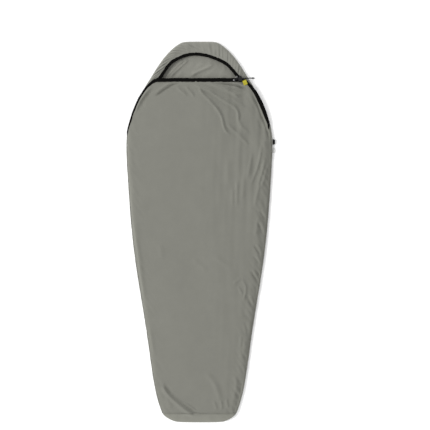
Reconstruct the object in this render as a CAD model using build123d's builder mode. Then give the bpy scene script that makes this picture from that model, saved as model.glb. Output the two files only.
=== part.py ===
"""Thin knit mummy sleeping bag with a drawcord hood, lying flat.

Millimetres. +Z up from the floor, +Y from the foot to the top of the hood, +X across the bag.
The origin is on the floor, on the bag's centre line, halfway along its length.
"""

import os
from math import pi, radians, tan

from build123d import *

os.makedirs("parts", exist_ok=True)

# ---------------------------------------------------------------- driving dimensions
LENGTH = 2100.0  # foot to crown
CLOTH = 2.0  # thickness that stands for the knit fabric and its seam allowances
GAP = 0.4  # clearance between pieces that are sewn or stand side by side

# Half widths and crown heights of the lying bag, from the foot seam to the chest.
BODY_STATIONS = (
    # y, half width, crown height
    (-1000, 204, 27),
    (-850, 247, 30),
    (-600, 284, 33),
    (-250, 340, 37),
    (100, 381, 39),
    (300, 395, 40),
    (480, 402.5, 40),
    (590, 392, 40),
)
# The back panel goes on past the chest, behind the shoulders, to the hood.
SHOULDER_STATIONS = ((700, 360), (785, 312), (864, 262))
# The hood's outline, from the neck to the crown.
HOOD_STATIONS = ((866, 260), (910, 233), (960, 198), (1005, 157), (1035, 118), (1048, 84))

SEAM_WIDTH = 3.6  # rolled side seam, outside the front panel's edge and above the back's
SEAM_BOTTOM = 8.4
SEAM_TOP = 12.5
FRONT_SIDE_Z = 12.0  # top of the front panel's edge at the side seam
RIM_Z = 8.0  # top of the back panel's turned-up edge
TURN_UP = 50.0  # width over which the back panel's edge turns up
SKIM = 0.5  # taken off below, so that the back rests on one flat face

FOOT_Y = -LENGTH / 2
FOOT_SEAM_WIDTH = 5.0
FOOT_SEAM_HEIGHT = 1.2
FOOT_SEAM_INSET = 10.0  # the foot seam stops this far inside the foot box's corners
FOOT_SEAM_SIDE_Z = 15.6
FOOT_SIDE_SHARE = 0.42  # height of the foot box's side wall, as a share of its crown
# The foot box closes the end: y, half width, height
FOOT_STATIONS = ((-1001, 203, 26.5), (-1022, 183, 24), (-1040, 150, 18), (FOOT_Y, 118, 11))

# The front's upper part, which opens: y, outer edge of its shoulder bindings, their lower
# face, the crown height of the fabric, and the width of the right binding, which lies flatter
# than the left one.
YOKE_STATIONS = (
    (592, 391, 13.0, 40, 10),
    (660, 371, 14.0, 39, 18),
    (725, 345, 15.0, 35, 18),
    (785, 308, 17.0, 30, 16),
    (812, 284, 19.5, 27.5, 14),
    (826, 268.5, 20.6, 26.4, 14),
)
LEFT_BINDING_WIDTH = 11.0
BINDING_HEIGHT = 5.0
YOKE_INSET_Z = 1.5  # the yoke's edge enters its binding at this height above the binding's foot

# The back edge's binding runs under the front's: y, middle x, width, lower face, height.
REAR_STATIONS = (
    (592, 382, 12, 8.5, 3.5),
    (660, 364, 12, 8.6, 3.5),
    (727, 337, 13, 8.8, 3.5),
    (785, 297, 16, 9.5, 4.0),
    (820, 256, 20, 12.0, 4.5),
    (845, 224, 22, 14.0, 6.0),
    (864, 207, 22, 14.0, 6.0),
)
# Fabric of the hood's lip below the neck line: y, inner x, outer x.
SKIRT_STATIONS = ((798, 291, 300), (820, 268, 287), (845, 237, 270), (864, 220, 258))
SKIRT_OUTER_Z = 8.6
SKIRT_INNER_Z = 11.0

# Neck hem: a straight tunnel across the front, with the drawcord in it.
NECK_Y = 837.5
NECK_Z = 25.0
NECK_HALF = 250.0
NECK_WIDTH = 20.0
TUNNEL_WIDTH = 19.0
TUNNEL_HEIGHT = 6.0
TUNNEL_ROUND = 2.0
TUNNEL_BORE = 4.0

# Hood hem: the same tunnel on an arc.
HOOD_EDGE_Z = 17.0
HOOD_EDGE = ((232, 834), (146, 941), (-20, 996), (-152, 950), (-226, 838))
HOOD_CUT_Y = 866.0  # the hood's pieces start here, above the neck fold
# Hood lip between the outline and the hem: outer point, inner point.
HOOD_RAYS = (
    ((258, 867), (203, 867)),
    ((222, 925), (168, 900)),
    ((165, 997), (118, 946)),
    ((90, 1045), (58, 966)),
    ((0, 1050), (-10, 978)),
    ((-90, 1045), (-80, 968)),
    ((-165, 997), (-138, 940)),
    ((-222, 925), (-178, 900)),
    ((-258, 867), (-204, 867)),
)
LIP_RIM_Z = 8.4
LIP_EDGE_Z = 16.0
LIP_BULGE = 3.0

# Drawcord, eyelets and cord lock.
CORD = 3.0
NECK_EYELET = (191.0, 837.5)
HOOD_EYELET = (206.0, 856.0)
HOOD_EYELET_SEAT = 19.6
EYELET_FLANGE = 8.4
EYELET_BARREL = 5.0
BARREL_FIT = 0.1  # radial clearance of the barrel in its hole
EYELET_HOLE = 4.0
EYELET_RISE = 1.2
EYELET_DEPTH = 1.8

LOCK_X = 226.0
LOCK_Y = 831.0  # foot end of the body
LOCK_Z = 36.0  # height of the cords' hole
LOCK_WIDTH = 20.0
LOCK_LENGTH = 22.0
LOCK_HEIGHT = 12.0
LOCK_ROUND = 2.6
LOCK_WALL = 2.0
WELL_WIDTH = 13.0
WELL_HEIGHT = 8.0
STEM_START = 8.0  # from the body's foot end to the plunger's inner end
STEM_LENGTH = 21.0
PRESS = 4.0  # travel of the plunger
HOLE_HEIGHT = 3.6
HOLE_LENGTH = 11.0
HOLE_START = 2.0  # from the plunger's inner end to its hole
WELL_ROUND = 1.2
STEM_FIT = 0.3  # clearance of the plunger in its well, each side
STEM_ROUND = 1.0
SPRING_WIRE = 0.7
SPRING_RADIUS = 2.6
SPRING_TURNS = 3.0

NECK_CORD_Y = 842.8
HOOD_CORD_Y = 846.2
LEAD_END_X = 235.7
NECK_LEAD = (
    (NECK_EYELET[0], NECK_EYELET[1], 26.4),
    (192.0, 838.0, LOCK_Z),
    (210.0, NECK_CORD_Y, LOCK_Z),
    (LEAD_END_X, NECK_CORD_Y, LOCK_Z),
)
HOOD_LEAD = (
    (HOOD_EYELET[0], HOOD_EYELET[1], 18.0),
    (204.5, 857.0, 28.0),
    (206.0, 852.4, LOCK_Z),
    (212.0, HOOD_CORD_Y, LOCK_Z),
    (LEAD_END_X, HOOD_CORD_Y, LOCK_Z),
)
TAIL_START_X = 236.2
NECK_TAIL = (
    (TAIL_START_X, NECK_CORD_Y, LOCK_Z),
    (258.0, 844.0, 35.4),
    (278.0, 846.0, 31.0),
    (294.0, 846.4, 24.5),
)
HOOD_TAIL = (
    (TAIL_START_X, HOOD_CORD_Y, LOCK_Z),
    (258.0, 847.5, 35.4),
    (278.0, 849.5, 31.0),
    (294.0, 849.9, 24.5),
)
TIP_LENGTH = 14.0
TIP_OVERLAP = 3.0  # length of cord inside the tip
TIP_WIDTH = 9.0
TIP_HEIGHT = 5.4

# Webbing tab that ties the lock to the front's corner, through an ear on the lock's body.
EAR_TURN = 20.0  # angle of the ear's bar from X
EAR_PLACE = (246.5, 836.7)
EAR_LENGTH = 26.0
EAR_DEPTH = 8.0
EAR_ROUND = 1.0
EAR_BAR = 2.2
EAR_SLOT = (22.6, 3.4)
EAR_THICKNESS = 3.0
TAB_WIDTH = 22.0
TAB_LENGTH = 24.0
TAB_DROP = 6.6  # from the bar's middle to the lower face of the sewn end
TAB_PLY = 1.2
TAB_ROUND = 1.8  # outside and inside corners of the loop round the bar
TAB_BORE_ROUND = 0.8
TAB_LIP = (-0.2, 1.2, -2.0)  # heights where the plies leave the loop: inside, above and below

# Small pieces sewn into the right side seam.
LOOP_X = 404.6
LOOP_Y = 497.5
LOOP_BASE = 33.0
LOOP_OUTER = 21.0
LOOP_REACH = 13.5
LOOP_Z = 9.0  # middle of the tape's doubled end in the seam
LOOP_HEIGHT = 7.6
LOOP_PLY = 1.2
LOOP_STEM = 2.5  # length of the doubled end outside the seam
LABEL_Y = 450.5
LABEL_Z = 8.0
LABEL_SIZE = (9.5, 27.0)
LABEL_THICKNESS = 0.8


# ---------------------------------------------------------------- shared sections
def arch_section(y, left, right, side_z, crown_z):
    """A strip of fabric that arches between two x values, on the upright plane at y."""
    middle = (left + right) / 2
    with BuildSketch(Plane.XZ.offset(-y)) as section:
        with BuildLine():
            top = ThreePointArc((left, side_z), (middle, crown_z), (right, side_z))
            Line(top @ 1, (right, side_z - CLOTH))
            under = ThreePointArc(
                (right, side_z - CLOTH), (middle, crown_z - CLOTH), (left, side_z - CLOTH)
            )
            Line(under @ 1, top @ 0)
        make_face()
    return section.sketch


def tray_section(y, half_width):
    """A strip of fabric that lies flat and turns up at both edges."""
    flat = half_width - TURN_UP
    with BuildSketch(Plane.XZ.offset(-y)) as section:
        with BuildLine():
            Line((-flat, CLOTH), (flat, CLOTH))
            TangentArc((flat, CLOTH), (half_width, RIM_Z), tangent=(1, 0))
            Line((half_width, RIM_Z), (half_width, RIM_Z - CLOTH))
            TangentArc((flat, -SKIM), (half_width, RIM_Z - CLOTH), tangent=(1, 0))
            Line((flat, -SKIM), (-flat, -SKIM))
            TangentArc((-flat, -SKIM), (-half_width, RIM_Z - CLOTH), tangent=(-1, 0))
            Line((-half_width, RIM_Z - CLOTH), (-half_width, RIM_Z))
            TangentArc((-flat, CLOTH), (-half_width, RIM_Z), tangent=(-1, 0))
        make_face()
    return section.sketch


def block_section(y, x_low, x_high, z_low, z_high):
    """A rectangle on the upright plane at y."""
    with BuildSketch(Plane.XZ.offset(-y)) as section:
        with Locations(((x_low + x_high) / 2, (z_low + z_high) / 2)):
            Rectangle(x_high - x_low, z_high - z_low)
    return section.sketch


def slanted_section(y, inner, outer):
    """A strip of fabric between two points (x, lower z) on the upright plane at y."""
    with BuildSketch(Plane.XZ.offset(-y)) as section:
        with BuildLine():
            Polyline(
                inner,
                outer,
                (outer[0], outer[1] + CLOTH),
                (inner[0], inner[1] + CLOTH),
                close=True,
            )
        make_face()
    return section.sketch


def lip_section(outer, inner):
    """The hood's lip on the upright plane through two points of its outline."""
    reach = Vector(*inner) - Vector(*outer)
    length = reach.length
    middle = (LIP_RIM_Z + LIP_EDGE_Z) / 2 + LIP_BULGE
    plane = Plane(origin=(*outer, 0), x_dir=reach, z_dir=reach.cross(Vector(0, 0, 1)))
    with BuildSketch(plane) as section:
        with BuildLine():
            under = ThreePointArc((0, LIP_RIM_Z), (length / 2, middle), (length, LIP_EDGE_Z))
            Line(under @ 1, (length, LIP_EDGE_Z + CLOTH))
            top = ThreePointArc(
                (length, LIP_EDGE_Z + CLOTH), (length / 2, middle + CLOTH), (0, LIP_RIM_Z + CLOTH)
            )
            Line(top @ 1, under @ 0)
        make_face()
    return section.sketch


def route_radii(points):
    """One radius for each corner of a route, as large as its two runs allow."""
    radii = []
    for before, corner, after in zip(points, points[1:], points[2:]):
        arriving = Vector(*corner) - Vector(*before)
        leaving = Vector(*after) - Vector(*corner)
        half_turn = radians(arriving.get_angle(leaving)) / 2
        radii.append(0.45 * min(arriving.length, leaving.length) / tan(half_turn))
    return radii


def cord_along(name, points):
    """A round cord along a route of straight runs joined by tangent arcs."""
    radii = route_radii(points)
    with BuildPart() as cord:
        with BuildLine():
            route = FilletPolyline(*points, radius=radii)
        with BuildSketch(Plane(origin=route @ 0, z_dir=route % 0)):
            Circle(CORD / 2)
        sweep()
    length = route.length
    ratio = cord.part.volume / (length * CORD**2 * pi / 4)
    radii = [round(radius, 1) for radius in radii]
    print(name, "length", round(length, 1), "radii", radii, "volume ratio", round(ratio, 4))
    return cord.part


def keep(part, name):
    """Labels a finished piece and writes it."""
    part.label = name
    export_step(part, f"parts/{name}.step")


# ---------------------------------------------------------------- bag: panels, foot and seams
panel_margin = SEAM_WIDTH + GAP

with BuildPart() as front_panel:
    loft(
        [
            arch_section(y, panel_margin - half, half - panel_margin, FRONT_SIDE_Z, crown)
            for y, half, crown in BODY_STATIONS
        ]
    )
keep(front_panel.part, "front_panel")

back_outline = [(y, half) for y, half, crown in BODY_STATIONS] + list(SHOULDER_STATIONS)
with BuildPart() as back_panel:
    loft([tray_section(y, half - panel_margin) for y, half in back_outline])
    split(bisect_by=Plane.XY, keep=Keep.TOP)
keep(back_panel.part, "back_panel")

for side, name in ((-1, "side_seam_left"), (1, "side_seam_right")):
    with BuildPart() as side_seam:
        sections = []
        for y, half, crown in BODY_STATIONS:
            edges = sorted((side * half, side * (half - SEAM_WIDTH)))
            sections.append(block_section(y, *edges, SEAM_BOTTOM, SEAM_TOP))
        loft(sections)
    keep(side_seam.part, name)


def foot_section(y, half_width, height, inset):
    """The foot box's closed outline at y, drawn in by inset."""
    side_z = height * FOOT_SIDE_SHARE
    half = half_width - inset
    with BuildSketch(Plane.XZ.offset(-y)) as section:
        with BuildLine():
            Line((-half, inset), (half, inset))
            Line((half, inset), (half, side_z))
            ThreePointArc((half, side_z), (0, height - inset), (-half, side_z))
            Line((-half, side_z), (-half, inset))
        make_face()
    return section.sketch


with BuildPart() as foot_box:
    loft([foot_section(y, half, height, 0) for y, half, height in FOOT_STATIONS])
    loft(
        [foot_section(y, half, height, CLOTH) for y, half, height in FOOT_STATIONS[:-1]],
        mode=Mode.SUBTRACT,
    )
keep(foot_box.part, "foot_box")

with BuildPart() as foot_seam:
    seam_half = FOOT_STATIONS[0][1] - FOOT_SEAM_INSET
    seam_crown = BODY_STATIONS[0][2] + GAP + FOOT_SEAM_HEIGHT
    seam_foot = FOOT_SEAM_SIDE_Z - FOOT_SEAM_HEIGHT
    with BuildSketch(Plane.XZ.offset(-FOOT_STATIONS[0][0] - FOOT_SEAM_WIDTH / 2)):
        with BuildLine():
            seam_top = ThreePointArc(
                (-seam_half, FOOT_SEAM_SIDE_Z), (0, seam_crown), (seam_half, FOOT_SEAM_SIDE_Z)
            )
            Line(seam_top @ 1, (seam_half, seam_foot))
            seam_under = ThreePointArc(
                (seam_half, seam_foot), (0, seam_crown - FOOT_SEAM_HEIGHT), (-seam_half, seam_foot)
            )
            Line(seam_under @ 1, seam_top @ 0)
        make_face()
    extrude(amount=FOOT_SEAM_WIDTH)
keep(foot_seam.part, "foot_seam")

# ---------------------------------------------------------------- bag: back edge of the mouth
for side, name in ((-1, "rear_binding_left"), (1, "rear_binding_right")):
    with BuildPart() as rear_binding:
        sections = []
        for y, middle, width, foot, height in REAR_STATIONS:
            edges = (side * middle - width / 2, side * middle + width / 2)
            sections.append(block_section(y, *edges, foot, foot + height))
        loft(sections, ruled=True)
        if side > 0:
            with BuildSketch(Plane.XY.offset(HOOD_EYELET_SEAT)):
                with Locations(HOOD_EYELET):
                    Circle(EYELET_FLANGE / 2 + GAP)
            extrude(amount=TUNNEL_HEIGHT, mode=Mode.SUBTRACT)
            with BuildSketch(Plane.XY.offset(HOOD_EYELET_SEAT)):
                with Locations(HOOD_EYELET):
                    Circle(EYELET_BARREL / 2 + BARREL_FIT)
            extrude(amount=-EYELET_DEPTH * 2, mode=Mode.SUBTRACT)
    keep(rear_binding.part, name)

for side, name in ((-1, "hood_skirt_left"), (1, "hood_skirt_right")):
    with BuildPart() as hood_skirt:
        loft(
            [
                slanted_section(y, (side * inner, SKIRT_INNER_Z), (side * outer, SKIRT_OUTER_Z))
                for y, inner, outer in SKIRT_STATIONS
            ],
            ruled=True,
        )
    keep(hood_skirt.part, name)

# ---------------------------------------------------------------- hood
with BuildPart() as hood_back:
    loft([tray_section(y, half - GAP) for y, half in HOOD_STATIONS])
    split(bisect_by=Plane.XY, keep=Keep.TOP)
keep(hood_back.part, "hood_back")

hood_side = Plane(origin=(0, HOOD_CUT_Y, 0), z_dir=(0, 1, 0))
hood_edge_points = [(x, y, HOOD_EDGE_Z) for x, y in HOOD_EDGE]

with BuildPart() as hood_binding:
    with BuildLine():
        hood_edge = FilletPolyline(*hood_edge_points, radius=route_radii(hood_edge_points))
    hem_plane = Plane(origin=hood_edge @ 0, x_dir=(0, 0, 1), z_dir=hood_edge % 0)
    with BuildSketch(hem_plane):
        RectangleRounded(TUNNEL_HEIGHT, TUNNEL_WIDTH, TUNNEL_ROUND)
    sweep()
    with BuildSketch(hem_plane):
        Circle(TUNNEL_BORE / 2)
    sweep(path=hood_edge, mode=Mode.SUBTRACT)
    split(bisect_by=hood_side, keep=Keep.TOP)
keep(hood_binding.part, "hood_binding")

with BuildPart() as hood_drawcord:
    with BuildLine():
        FilletPolyline(*hood_edge_points, radius=route_radii(hood_edge_points))
    with BuildSketch(hem_plane):
        Circle(CORD / 2)
    sweep()
    split(bisect_by=hood_side, keep=Keep.TOP)
keep(hood_drawcord.part, "hood_drawcord")

with BuildPart() as hood_crown:
    loft([lip_section(outer, inner) for outer, inner in HOOD_RAYS])
    with BuildSketch():
        with BuildLine():
            mouth_edge = FilletPolyline(*HOOD_EDGE, radius=route_radii(HOOD_EDGE))
            Line(mouth_edge @ 1, mouth_edge @ 0)
        make_face()
        offset(amount=TUNNEL_WIDTH / 2 + GAP)
    extrude(amount=LENGTH, mode=Mode.SUBTRACT)
keep(hood_crown.part, "hood_crown")

# ---------------------------------------------------------------- front flap
with BuildPart() as front_yoke:
    sections = []
    for y, edge, foot, crown, right_width in YOKE_STATIONS:
        left = LEFT_BINDING_WIDTH + GAP - edge
        right = edge - right_width - GAP
        sections.append(arch_section(y, left, right, foot + YOKE_INSET_Z + CLOTH, crown))
    loft(sections, ruled=True)
keep(front_yoke.part, "front_yoke")

for side, name in ((-1, "shoulder_binding_left"), (1, "shoulder_binding_right")):
    with BuildPart() as shoulder_binding:
        sections = []
        for y, edge, foot, crown, right_width in YOKE_STATIONS:
            width = right_width if side > 0 else LEFT_BINDING_WIDTH
            edges = sorted((side * edge, side * (edge - width)))
            sections.append(block_section(y, *edges, foot, foot + BINDING_HEIGHT))
        loft(sections, ruled=True)
    keep(shoulder_binding.part, name)

with BuildPart() as neck_binding:
    with BuildSketch(Plane.YZ.offset(-NECK_HALF)):
        with Locations((NECK_Y, NECK_Z)):
            RectangleRounded(NECK_WIDTH, TUNNEL_HEIGHT, TUNNEL_ROUND)
            Circle(TUNNEL_BORE / 2, mode=Mode.SUBTRACT)
    extrude(amount=2 * NECK_HALF)
    with BuildSketch(Plane.XY.offset(NECK_Z)):
        with Locations(NECK_EYELET):
            Circle(EYELET_BARREL / 2 + BARREL_FIT)
    extrude(amount=TUNNEL_HEIGHT, mode=Mode.SUBTRACT)
keep(neck_binding.part, "neck_binding")

with BuildPart() as neck_drawcord:
    with BuildSketch(Plane.YZ.offset(GAP - NECK_HALF)):
        with Locations((NECK_Y, NECK_Z)):
            Circle(CORD / 2)
    extrude(amount=NECK_HALF + NECK_EYELET[0] - CORD)
keep(neck_drawcord.part, "neck_drawcord")


def eyelet(place, seat):
    """A pressed metal ring: a flange on the binding and a barrel down into it."""
    seat_plane = Plane(origin=(*place, seat))
    with BuildPart() as ring:
        with BuildSketch(seat_plane):
            Circle(EYELET_FLANGE / 2)
            Circle(EYELET_HOLE / 2, mode=Mode.SUBTRACT)
        extrude(amount=EYELET_RISE)
        fillet(ring.edges().filter_by(GeomType.CIRCLE).group_by(Axis.Z)[-1], EYELET_RISE / 3)
        with BuildSketch(seat_plane):
            Circle(EYELET_BARREL / 2)
            Circle(EYELET_HOLE / 2, mode=Mode.SUBTRACT)
        extrude(amount=-EYELET_DEPTH)
    return ring.part


keep(eyelet(NECK_EYELET, NECK_Z + TUNNEL_HEIGHT / 2), "neck_eyelet")
keep(eyelet(HOOD_EYELET, HOOD_EYELET_SEAT), "hood_eyelet")

# ---------------------------------------------------------------- cord lock
lock_middle = LOCK_Y + LOCK_LENGTH / 2
hole_middle = LOCK_Y + STEM_START + HOLE_START + HOLE_LENGTH / 2
ear_plane = Plane(
    origin=(*EAR_PLACE, LOCK_Z - LOCK_HEIGHT / 2),
    x_dir=Vector(1, 0, 0).rotate(Axis.Z, EAR_TURN),
    z_dir=(0, 0, 1),
)
bar_y = (EAR_BAR - EAR_DEPTH) / 2

with BuildPart() as cord_lock_body:
    with BuildSketch(Plane.XY.offset(LOCK_Z - LOCK_HEIGHT / 2)):
        with Locations((LOCK_X, lock_middle)):
            RectangleRounded(LOCK_WIDTH, LOCK_LENGTH, LOCK_ROUND)
    extrude(amount=LOCK_HEIGHT)
    fillet(cord_lock_body.faces().filter_by(Axis.Z).edges(), LOCK_ROUND / 2)
    with BuildSketch(ear_plane):
        RectangleRounded(EAR_LENGTH, EAR_DEPTH, EAR_ROUND)
        with Locations((0, bar_y + EAR_BAR / 2 + EAR_SLOT[1] / 2)):
            Rectangle(*EAR_SLOT, mode=Mode.SUBTRACT)
    extrude(amount=EAR_THICKNESS)
    with BuildSketch(Plane.XZ.offset(-LOCK_Y - LOCK_LENGTH)):
        with Locations((LOCK_X, LOCK_Z)):
            RectangleRounded(WELL_WIDTH, WELL_HEIGHT, WELL_ROUND)
    extrude(amount=LOCK_LENGTH - LOCK_WALL, mode=Mode.SUBTRACT)
    with BuildSketch(Plane.YZ.offset(LOCK_X - LOCK_WIDTH / 2)):
        with Locations((hole_middle - PRESS, LOCK_Z)):
            SlotOverall(HOLE_LENGTH, HOLE_HEIGHT)
    extrude(amount=LOCK_WIDTH, mode=Mode.SUBTRACT)
keep(cord_lock_body.part, "cord_lock_body")

with BuildPart() as cord_lock_plunger:
    with BuildSketch(Plane.XZ.offset(-LOCK_Y - STEM_START)):
        with Locations((LOCK_X, LOCK_Z)):
            RectangleRounded(WELL_WIDTH - 2 * STEM_FIT, WELL_HEIGHT - 2 * STEM_FIT, STEM_ROUND)
    extrude(amount=-STEM_LENGTH)
    fillet(cord_lock_plunger.faces().sort_by(Axis.Y)[-1].edges(), STEM_ROUND * 0.9)
    with BuildSketch(Plane.YZ.offset(LOCK_X - LOCK_WIDTH / 2)):
        with Locations((hole_middle, LOCK_Z)):
            SlotOverall(HOLE_LENGTH, HOLE_HEIGHT)
    extrude(amount=LOCK_WIDTH, mode=Mode.SUBTRACT)
keep(cord_lock_plunger.part, "cord_lock_plunger")

spring_start = LOCK_Y + LOCK_WALL + SPRING_WIRE
spring_height = STEM_START - LOCK_WALL - 2 * SPRING_WIRE
with BuildPart() as cord_lock_spring:
    with BuildLine():
        coil = Helix(
            pitch=spring_height / SPRING_TURNS,
            height=spring_height,
            radius=SPRING_RADIUS,
            center=(LOCK_X, spring_start, LOCK_Z),
            direction=(0, 1, 0),
        )
    with BuildSketch(Plane(origin=coil @ 0, z_dir=coil % 0)):
        Circle(SPRING_WIRE / 2)
    sweep(is_frenet=True)
keep(cord_lock_spring.part, "cord_lock_spring")

tab_origin = ear_plane.from_local_coords(Vector(0, bar_y, EAR_THICKNESS / 2))
tab_plane = Plane(origin=tab_origin, x_dir=-ear_plane.y_dir, z_dir=ear_plane.x_dir)
loop_width = EAR_BAR + 2 * GAP + 2 * TAB_PLY
loop_height = EAR_THICKNESS + 2 * GAP + 2 * TAB_PLY
upward = 1 if tab_plane.y_dir.Z > 0 else -1
with BuildPart() as lock_anchor_tab:
    with BuildSketch(tab_plane):
        RectangleRounded(loop_width, loop_height, TAB_ROUND)
        lip_inside, lip_above, lip_below = (upward * height for height in TAB_LIP)
        with BuildLine():
            Polyline(
                (0, lip_inside),
                (loop_width / 2, lip_above),
                (TAB_LENGTH, upward * (2 * TAB_PLY - TAB_DROP)),
                (TAB_LENGTH, -upward * TAB_DROP),
                (loop_width / 2, lip_below),
                close=True,
            )
        make_face()
        RectangleRounded(
            EAR_BAR + 2 * GAP, EAR_THICKNESS + 2 * GAP, TAB_BORE_ROUND, mode=Mode.SUBTRACT
        )
    extrude(amount=TAB_WIDTH / 2, both=True)
keep(lock_anchor_tab.part, "lock_anchor_tab")

# ---------------------------------------------------------------- free cord between eyelets and tail
keep(cord_along("neck_cord_lead", NECK_LEAD), "neck_cord_lead")
keep(cord_along("hood_cord_lead", HOOD_LEAD), "hood_cord_lead")
keep(cord_along("tail_cord_neck", NECK_TAIL), "tail_cord_neck")
keep(cord_along("tail_cord_hood", HOOD_TAIL), "tail_cord_hood")

tail_end = (Vector(*NECK_TAIL[-1]) + Vector(*HOOD_TAIL[-1])) / 2
tail_way = (Vector(*NECK_TAIL[-1]) - Vector(*NECK_TAIL[-2])).normalized()
tip_plane = Plane(
    origin=tail_end - tail_way * TIP_OVERLAP,
    x_dir=Vector(0, 0, 1).cross(tail_way),
    z_dir=tail_way,
)
with BuildPart() as cord_end_tip:
    with BuildSketch(tip_plane):
        RectangleRounded(TIP_WIDTH, TIP_HEIGHT, TIP_HEIGHT * 0.4)
    extrude(amount=TIP_LENGTH, taper=4)
    fillet(cord_end_tip.faces().sort_by(Axis.X)[-1].edges(), 0.8)
keep(cord_end_tip.part, "cord_end_tip")

# ---------------------------------------------------------------- pieces in the right side seam
loop_length = LOOP_REACH - LOOP_STEM
with BuildPart() as side_loop:
    with BuildSketch(Plane.XZ.offset(-LOOP_Y)):
        with Locations((LOOP_X + LOOP_REACH - loop_length / 2, LOOP_Z)):
            Ellipse(loop_length / 2, LOOP_HEIGHT / 2)
        with Locations((LOOP_X + LOOP_REACH / 4, LOOP_Z)):
            Rectangle(LOOP_REACH / 2, 2 * LOOP_PLY)
        with Locations((LOOP_X + LOOP_REACH - loop_length / 2, LOOP_Z)):
            Ellipse(loop_length / 2 - LOOP_PLY, LOOP_HEIGHT / 2 - LOOP_PLY, mode=Mode.SUBTRACT)
    extrude(amount=LOOP_BASE / 2, both=True)
    with BuildSketch():
        with BuildLine():
            Polyline(
                (LOOP_X, LOOP_Y - LOOP_BASE / 2),
                (LOOP_X + LOOP_REACH, LOOP_Y - LOOP_OUTER / 2),
                (LOOP_X + LOOP_REACH, LOOP_Y + LOOP_OUTER / 2),
                (LOOP_X, LOOP_Y + LOOP_BASE / 2),
                close=True,
            )
        make_face()
    extrude(amount=2 * LOOP_Z, mode=Mode.INTERSECT)
keep(side_loop.part, "side_loop")

with BuildPart() as care_label:
    with BuildSketch(Plane.XY.offset(LABEL_Z)):
        with Locations((LOOP_X + LABEL_SIZE[0] / 2, LABEL_Y)):
            Rectangle(*LABEL_SIZE)
    extrude(amount=LABEL_THICKNESS)
keep(care_label.part, "care_label")
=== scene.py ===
import math

import bpy
import numpy as np
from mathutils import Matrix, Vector


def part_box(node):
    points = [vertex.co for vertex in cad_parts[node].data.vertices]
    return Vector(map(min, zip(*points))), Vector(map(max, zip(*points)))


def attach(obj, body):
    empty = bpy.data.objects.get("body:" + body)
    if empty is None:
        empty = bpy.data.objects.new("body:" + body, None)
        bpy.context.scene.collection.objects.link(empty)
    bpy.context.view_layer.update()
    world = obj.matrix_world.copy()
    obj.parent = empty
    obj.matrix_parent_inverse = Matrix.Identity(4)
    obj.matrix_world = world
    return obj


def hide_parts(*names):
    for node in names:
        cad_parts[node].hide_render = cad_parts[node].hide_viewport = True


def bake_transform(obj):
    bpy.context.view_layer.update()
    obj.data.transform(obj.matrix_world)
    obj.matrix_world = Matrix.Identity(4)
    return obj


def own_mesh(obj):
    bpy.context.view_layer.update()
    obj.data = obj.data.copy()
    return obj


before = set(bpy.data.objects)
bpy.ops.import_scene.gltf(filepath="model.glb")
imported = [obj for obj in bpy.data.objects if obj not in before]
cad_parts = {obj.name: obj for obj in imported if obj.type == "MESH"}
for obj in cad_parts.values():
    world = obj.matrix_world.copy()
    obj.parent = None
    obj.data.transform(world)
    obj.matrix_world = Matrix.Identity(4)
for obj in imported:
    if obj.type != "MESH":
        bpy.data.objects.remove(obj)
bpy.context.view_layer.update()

MM = 0.001
CLOTH = 1.2 * MM  # thickness of the knit, with the pile it shows

FOOT_SEAM_Y = -0.9990
FOOT_END_Y = -1.0498
HINGE_Y = 0.591  # the chest line, above which the front opens
NECK_Y = 0.8375
SEAM_Z = 10.4 * MM  # the side seams' middle
HALF_CUT = 0.39  # half width of the cut front and back, for the knit's pattern


# ---- small mathematics
def ease(t):
    """0 to 1 with soft ends."""
    t = np.clip(t, 0.0, 1.0)
    return t * t * (3 - 2 * t)


def bow(t):
    """0 to 1 along a quarter of a circle, steep at its start."""
    return np.sqrt(np.clip(1 - (1 - np.clip(t, 0, 1)) ** 2, 0, 1))


def unit(vectors):
    """The same directions at length 1."""
    return vectors / np.linalg.norm(vectors, axis=1)[:, None]


def lengths_along(points):
    """Distance from the start to each point of a line."""
    steps = np.linalg.norm(np.diff(points, axis=0), axis=1)
    return np.concatenate([[0.0], np.cumsum(steps)])


def picked(points, along, at):
    """A line's points at some distances from its start; along holds the distances of the given ones."""
    return np.stack([np.interp(at, along, column) for column in points.T], axis=1)


def flow(points, count):
    """A smooth run past a route's corners, at even steps; it may carry widths beside the coordinates."""
    p = np.array(points, float)
    joins = np.vstack([p[:1], (p[1:-2] + p[2:-1]) / 2, p[-1:]])
    t = np.linspace(0, 1, 24, endpoint=False)[:, None]
    runs = [
        a * (1 - t) ** 2 + 2 * c * t * (1 - t) + b * t**2
        for a, c, b in zip(joins[:-1], p[1:-1], joins[1:])
    ]
    fine = np.vstack(runs + [p[-1:]])
    along = lengths_along(fine[:, :3])
    return picked(fine, along, np.linspace(0, along[-1], count))


def beside(route, x, y):
    """For each (x, y): signed distance to a route, positive on its left, and the share of the way along."""
    best = np.full(x.shape, np.inf)
    side = np.zeros(x.shape)
    share = np.zeros(x.shape)
    along = lengths_along(route)
    for k in range(len(route) - 1):
        a, d = route[k], route[k + 1] - route[k]
        length = np.hypot(*d)
        t = np.clip(((x - a[0]) * d[0] + (y - a[1]) * d[1]) / length**2, 0, 1)
        px, py = x - a[0] - t * d[0], y - a[1] - t * d[1]
        away = np.hypot(px, py)
        near = away < best
        best = np.where(near, away, best)
        side = np.where(near, np.sign(d[0] * py - d[1] * px), side)
        share = np.where(near, (along[k] + t * length) / along[-1], share)
    return best * side, share


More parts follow.
